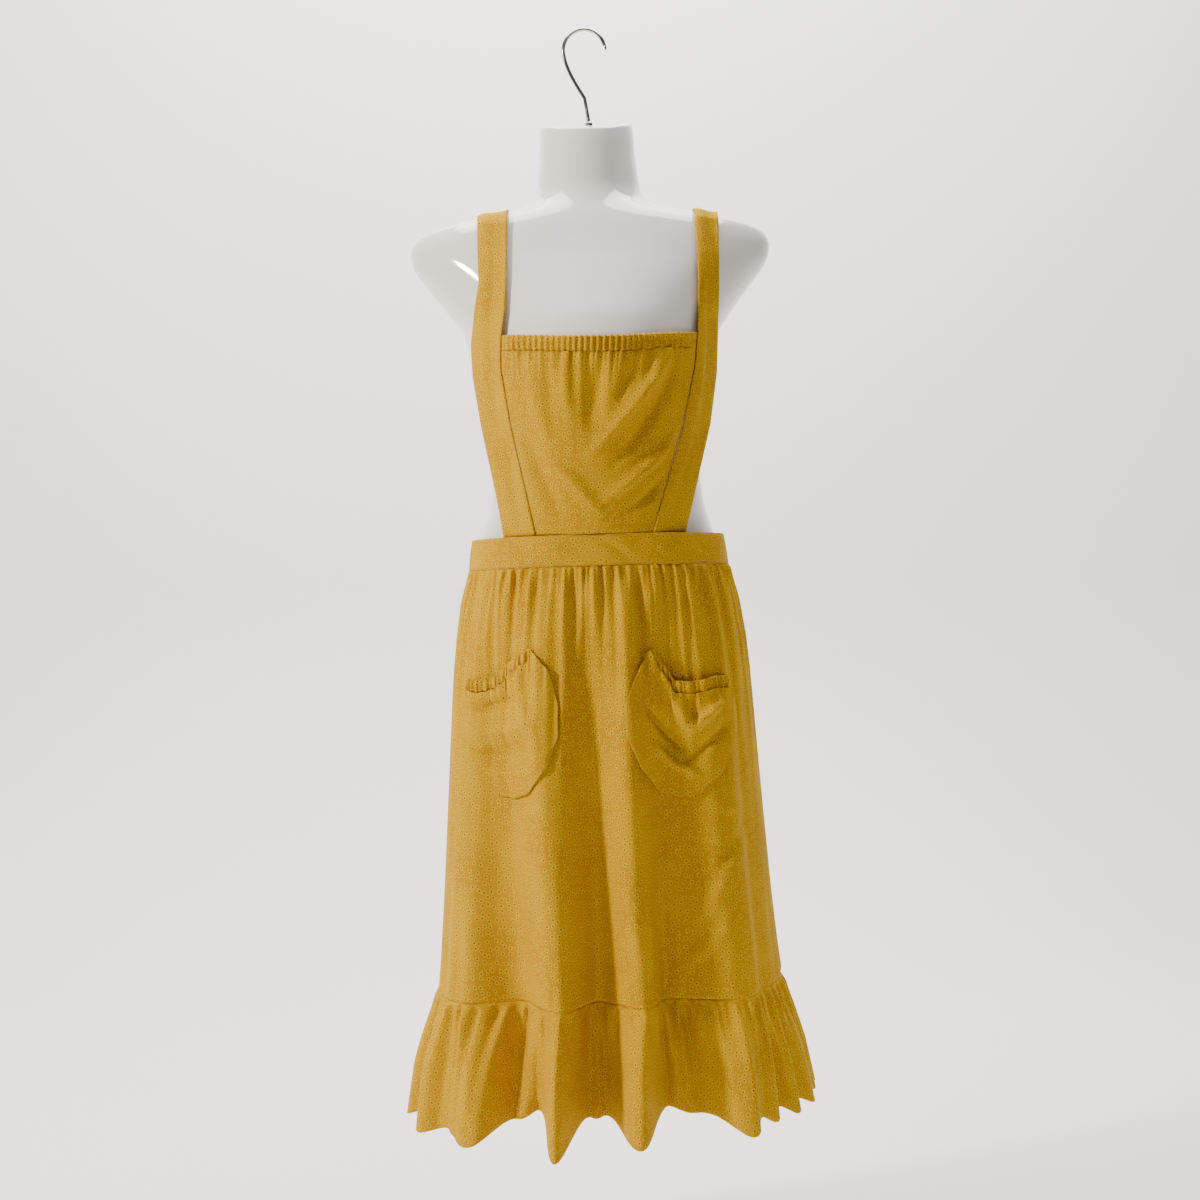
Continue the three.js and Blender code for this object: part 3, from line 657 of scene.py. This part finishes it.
def plain(name, colour, roughness, metallic=0.0, coat=0.0):
    n = Nodes(name)
    mottle = n.add("ShaderNodeTexNoise")
    mottle.inputs["Scale"].default_value = 6
    deeper = tuple(0.95 * c for c in colour)
    n.join(n.mix(mottle.outputs["Fac"], colour, deeper), n.shader.inputs["Base Color"])
    n.shader.inputs["Roughness"].default_value = roughness
    n.shader.inputs["Metallic"].default_value = metallic
    n.shader.inputs["Coat Weight"].default_value = coat
    return n.material


MATERIALS = {
    "cotton_print": calico("calico", GROUND),
    # The casings are the same calico on a darker ground: painted shade of their tight gathers.
    "gathered_casing": calico("gathered_calico_painted_shade", GROUND_PATCH_AND_PAINTED_SHADE),
    "form_plastic": plain("form_plastic", (0.84, 0.81, 0.76), 0.09, coat=0.3),
    "steel_wire": plain("steel_wire", (0.6, 0.58, 0.55), 0.14, metallic=1.0),
}
THREAD = plain("thread", (0.55, 0.30, 0.04), 0.7)

# ---- The dress ---------------------------------------------------------------------------------------
grids = {}
for side, wide in (("front", 320), ("back", 240)):
    grids[f"skirt_{side}"] = skirt_points(side, wide, 140)
    grids[f"ruffle_{side}"] = ruffle_points(side, wide + 40, 44)
    grids[f"waistband_{side}"] = waistband_points(side, wide, 12)
for side in ("right", "left"):
    grids[f"strap_{side}"] = strap_points(side, 14, 220)
    grids[f"pocket_{side}"] = pocket_points(side, "panel", 90, 70)
    grids[f"pocket_{side}_casing"] = pocket_points(side, "casing", 110, 8)
grids["bib_panel"] = bib_points("panel", 170, 110)
grids["bib_top_casing"] = bib_points("casing", 220, 10)

# Each grid becomes a piece of cloth, the casings in the casing slot. The straps follow the curve of the side
# beside the bust.
for name, points in grids.items():
    slot = "gathered_casing" if name.endswith("casing") else "cotton_print"
    piece = cloth(name, points, slot)


STITCH_LENGTH = 2.3
STITCH_PITCH = 3.4
FIRST_STITCH = 1.5
THREAD_RADIUS = 0.28


def stitches(name, lines):
    """Short stitches along lines of points on the cloth, a little proud of it."""
    verts, faces = [], []
    for line in lines:
        steps = np.linalg.norm(np.diff(line, axis=0), axis=1)
        run = np.concatenate([[0], np.cumsum(steps)])
        for start in np.arange(FIRST_STITCH, run[-1] - STITCH_LENGTH, STITCH_PITCH):
            ends = [
                np.array([np.interp(s, run, line[:, k]) for k in range(3)])
                for s in (start, start + STITCH_LENGTH)
            ]
            along = (ends[1] - ends[0]) / np.linalg.norm(ends[1] - ends[0])
            side = np.cross(along, (0.0, 0.0, 1.0) if abs(along[2]) < 0.8 else (0.0, 1.0, 0.0))
            side /= np.linalg.norm(side)
            up = np.cross(side, along)
            first = len(verts)
            for end in ends:
                for a, b in ((1, 0), (0, 1), (-1, 0), (0, -1)):
                    verts.append((end + THREAD_RADIUS * (a * side + b * up)) * MM)
            for k in range(4):
                faces.append((first + k, first + (k + 1) % 4, first + 4 + (k + 1) % 4, first + 4 + k))
            faces.append((first, first + 3, first + 2, first + 1))
            faces.append((first + 4, first + 5, first + 6, first + 7))
    mesh = bpy.data.meshes.new(name)
    mesh.from_pydata([tuple(v) for v in verts], [], faces)
    mesh.materials.append(THREAD)
    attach(linked(name, mesh), "root")


def row_line(points, share):
    """The line of points a share of the way down a grid."""
    return points[int(round(share * (len(points) - 1)))]


def column_line(points, share):
    """The line of points a share of the way across a grid."""
    return points[:, int(round(share * (points.shape[1] - 1)))]


seams = [row_line(grids[f"ruffle_{side}"], 0.94) for side in ("front", "back")]
seams += [row_line(grids[f"waistband_{side}"], share) for side in ("front", "back") for share in (0.08, 0.92)]
seams += [row_line(grids["bib_top_casing"], share) for share in (0.1, 0.9)]
seams += [column_line(grids[f"strap_{side}"], share) for side in ("right", "left") for share in (0.1, 0.9)]
seams += [row_line(grids[f"pocket_{side}_casing"], 0.9) for side in ("right", "left")]
seams += [row_line(grids[f"pocket_{side}"], 0.97) for side in ("right", "left")]
stitches("stitches", seams)


# ---- The form and its hook ---------------------------------------------------------------------------
NECK_SLOPE_FOOT_Z = -145
NECK_SLOPE_RISE = 40
HOOK_CROWN_RADIUS = 24
HOOK_FOOT = np.array([3.0, 0.0, -104.2])
HOOK_BEND = np.array([-1.0, 0.0, -77.0])
HOOK_PULL = np.array([-21.0, 0.0, -45.0])
HOOK_ARC = range(195, -1, -5)  # degrees round the crown, from the stem's side to the tip


def form_grid(columns, rows):
    """The form's outside from its neck's rim to its lower edge."""
    u, v = grid(columns, rows)
    z = FORM_TOP_Z + v * (FORM_BOTTOM_Z - FORM_TOP_Z)
    half, depth = column(FORM_SECTIONS, z, 1), column(FORM_SECTIONS, z, 2)
    angle = np.pi * (1 - u)
    forward = depth * np.sin(angle)
    slope = NECK_SLOPE * forward * ease((z - NECK_SLOPE_FOOT_Z) / NECK_SLOPE_RISE)
    return np.stack([half * np.cos(angle), BACK_Y - forward, z - slope], axis=2)


def form_piece():
    """The form's shell with its capped neck, softened along its length."""
    outer = form_grid(96, 220)
    for _ in range(5):
        outer[1:-1] = 0.25 * outer[:-2] + 0.5 * outer[1:-1] + 0.25 * outer[2:]
    centre = np.array([[0.0, BACK_Y, FORM_TOP_Z]])
    cap = [centre + (outer[0] - centre) * t for t in (0.0, 0.5, 0.9, 0.97)]
    points = np.concatenate([np.array(cap), outer], axis=0)
    piece = linked("form_shell", grid_mesh("form_shell", points, MATERIALS["form_plastic"]))
    weld = piece.modifiers.new("weld", "WELD")
    weld.merge_threshold = 0.00002
    shell = piece.modifiers.new("wall", "SOLIDIFY")
    shell.thickness = FORM_SHELL * MM
    shell.offset = -1
    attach(piece, "root")
    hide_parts("torso_form")


def hook_piece():
    """The hook's bent wire."""
    middle = np.array([0.0, 0.0, WIRE_RADIUS - HOOK_CROWN_RADIUS])
    turns = [math.radians(d) for d in HOOK_ARC]
    arc = [middle + HOOK_CROWN_RADIUS * np.array([math.cos(a), 0.0, math.sin(a)]) for a in turns]
    way = [HOOK_FOOT + (HOOK_BEND - HOOK_FOOT) * t for t in (0.0, 0.5)]
    for t in np.linspace(0, 1, 16)[:-1]:
        way.append(HOOK_BEND * (1 - t) ** 2 + HOOK_PULL * 2 * t * (1 - t) + arc[0] * t * t)
    way += arc
    curve = bpy.data.curves.new("hook_wire", "CURVE")
    curve.dimensions = "3D"
    curve.bevel_depth = WIRE_RADIUS * MM
    curve.bevel_resolution = 6
    curve.use_fill_caps = True
    line = curve.splines.new("POLY")
    line.points.add(len(way) - 1)
    for point, place in zip(line.points, way):
        point.co = (*(place * MM), 1)
    line.use_smooth = True
    curve.materials.append(MATERIALS["steel_wire"])
    piece = linked("hook_wire", curve)
    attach(piece, "root")
    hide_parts("hook")


form_piece()
hook_piece()
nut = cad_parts["hook_nut"]
nut.data.materials.clear()
nut.data.materials.append(MATERIALS["steel_wire"])


# ---- Room, light and camera, in metres ---------------------------------------------------------------
FLOOR_Z = -1.42
FLOOR_FRONT_Y = -4.0
CURVE_Y = 1.2
CURVE_RADIUS = 0.8
WALL_TOP_Z = 3.0
CAMERA_PLACE = (0, -2.13, -0.655)
CAMERA_LENS = 55.5
CAMERA_ROLL = 1.66


def backdrop():
    """A pale floor that curves up into a wall."""
    profile = [(FLOOR_FRONT_Y, FLOOR_Z), (CURVE_Y, FLOOR_Z)]
    for a in np.linspace(0, math.pi / 2, 20)[1:]:
        profile.append((CURVE_Y + CURVE_RADIUS * math.sin(a), FLOOR_Z + CURVE_RADIUS * (1 - math.cos(a))))
    profile.append((CURVE_Y + CURVE_RADIUS, WALL_TOP_Z))
    verts = [(x, y, z) for y, z in profile for x in (-5.0, 5.0)]
    faces = [(2 * i, 2 * i + 1, 2 * i + 3, 2 * i + 2) for i in range(len(profile) - 1)]
    mesh = bpy.data.meshes.new("backdrop")
    mesh.from_pydata(verts, [], faces)
    mesh.polygons.foreach_set("use_smooth", [True] * len(mesh.polygons))
    mesh.materials.append(plain("backdrop_paint", (0.93, 0.92, 0.9), 0.9))
    linked("backdrop", mesh)


def area_light(name, place, target, size, power, colour):
    data = bpy.data.lights.new(name, "AREA")
    data.size = size
    data.energy = power
    data.color = colour
    lamp = linked(name, data)
    lamp.location = place
    lamp.rotation_euler = (Vector(target) - Vector(place)).to_track_quat("-Z", "Y").to_euler()


backdrop()
area_light("key", (-2.4, -1.15, 0.6), (0, 0, -0.7), 0.3, 105, (1.0, 0.93, 0.8))
area_light("fill", (0.8, -3.2, 0.3), (0, 0, -0.7), 1.0, 3, (1.0, 0.97, 0.94))
area_light("wall", (0.0, 0.7, 1.9), (0, 2.0, -0.6), 2.5, 230, (1.0, 1.0, 1.0))

world = bpy.data.worlds.new("studio")
world.use_nodes = True
world.node_tree.nodes["Background"].inputs["Color"].default_value = (1, 0.98, 0.95, 1)
world.node_tree.nodes["Background"].inputs["Strength"].default_value = 0.12
bpy.context.scene.world = world

camera_data = bpy.data.cameras.new("camera")
camera_data.sensor_width = 36
camera_data.lens = CAMERA_LENS
camera = linked("camera", camera_data)
upright = Matrix.Rotation(math.pi / 2, 4, "X")
roll = Matrix.Rotation(-math.radians(CAMERA_ROLL), 4, "Z")
camera.matrix_world = Matrix.Translation(CAMERA_PLACE) @ upright @ roll
bpy.context.scene.camera = camera
